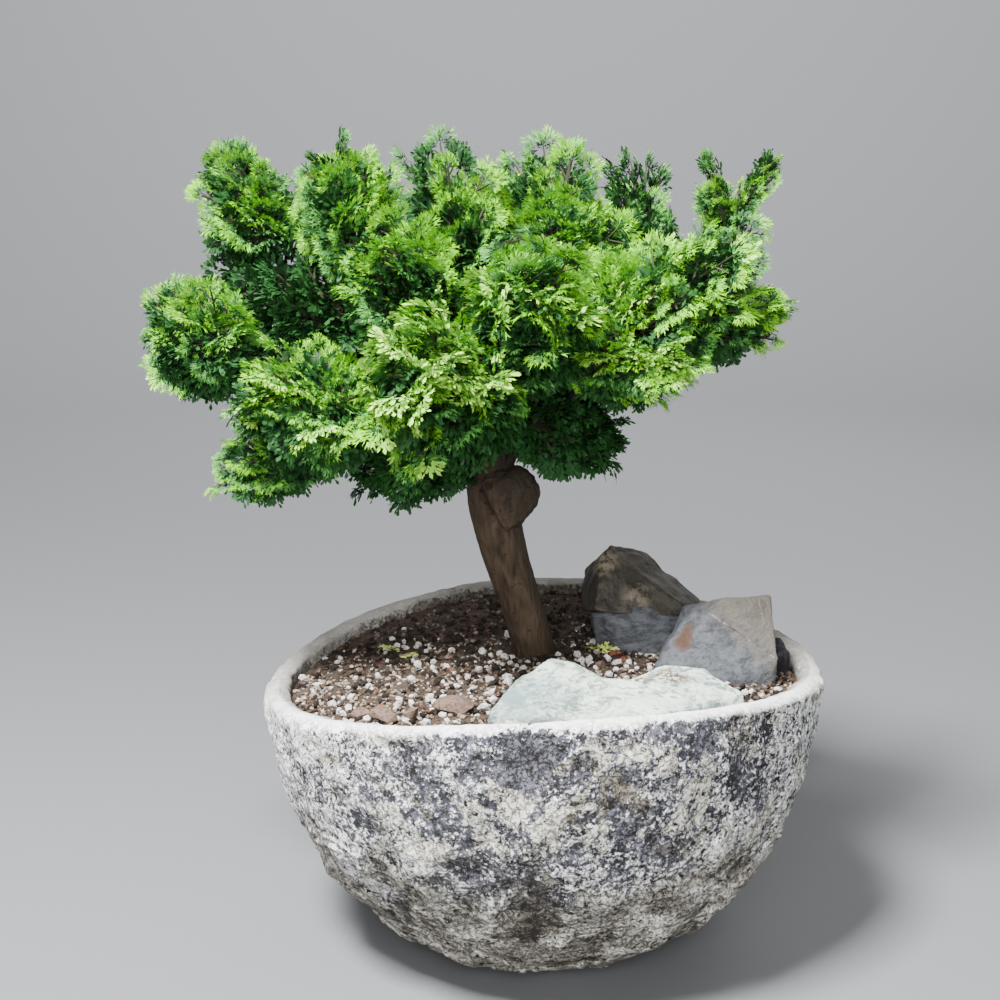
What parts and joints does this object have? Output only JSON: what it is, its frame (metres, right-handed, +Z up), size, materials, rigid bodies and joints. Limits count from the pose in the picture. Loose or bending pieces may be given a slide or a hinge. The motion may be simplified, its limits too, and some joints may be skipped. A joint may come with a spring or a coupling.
{
  "type": "dwarf cypress bonsai",
  "caption": "Leaning dwarf cypress bonsai with a knotted trunk and a dense crown of flat fan sprays, in a rough pale-washed round bowl with soil and stones.",
  "frame": {"origin": "centre of the bowl's flat underside", "axes": "+Z up along the bowl's axis, +X to the right in the front view, -Y towards the front"},
  "size_m": [0.2755, 0.2346, 0.332],
  "materials": {
    "pot": "matte",
    "soil": "matte",
    "pale_stone": "matte",
    "ridge_stone": "matte",
    "grey_stone": "matte",
    "dark_stone": "matte",
    "bark": "matte",
    "foliage": "satin"
  },
  "bodies": {
    "root": {"pot": "pot", "soil": "soil", "stone_pale": "pale_stone", "stone_ridge": "ridge_stone", "stone_grey": "grey_stone", "stone_dark": "dark_stone", "trunk": "bark", "bough_far_left": "bark", "bough_left_inner": "bark", "bough_upper_mid": "bark", "bough_upper_left": "bark", "bough_mid_left_high": "bark", "bough_left_low": "bark", "bough_left_drop": "bark", "bough_under_left": "bark", "bough_front_mid": "bark", "bough_front_high": "bark", "bough_crest_left": "bark", "bough_crest_far_right": "bark", "bough_right_tip": "bark", "bough_right_low": "bark", "bough_right_main": "bark", "bough_horn_in": "bark", "bough_horn_out": "bark", "bough_under_right": "bark", "bough_back_left": "bark", "bough_back_mid": "bark", "bough_back_mid_right": "bark", "bough_back_right": "bark", "bough_back_crest": "bark", "mass_far_left": "foliage", "mass_left_inner": "foliage", "mass_upper_mid": "foliage", "mass_upper_left": "foliage", "mass_mid_left_high": "foliage", "mass_left_low": "foliage", "mass_left_drop": "foliage", "mass_under_left": "foliage", "mass_front_mid": "foliage", "mass_front_high": "foliage", "mass_crest_left": "foliage", "mass_crest_right": "foliage", "mass_crest_far_right": "foliage", "mass_right_tip": "foliage", "mass_right_low": "foliage", "mass_right_main": "foliage", "mass_horn_in": "foliage", "mass_horn_out": "foliage", "mass_under_right": "foliage", "mass_back_left": "foliage", "mass_back_mid": "foliage", "mass_back_mid_right": "foliage", "mass_back_right": "foliage", "mass_back_crest": "foliage"}
  },
  "joints": []
}
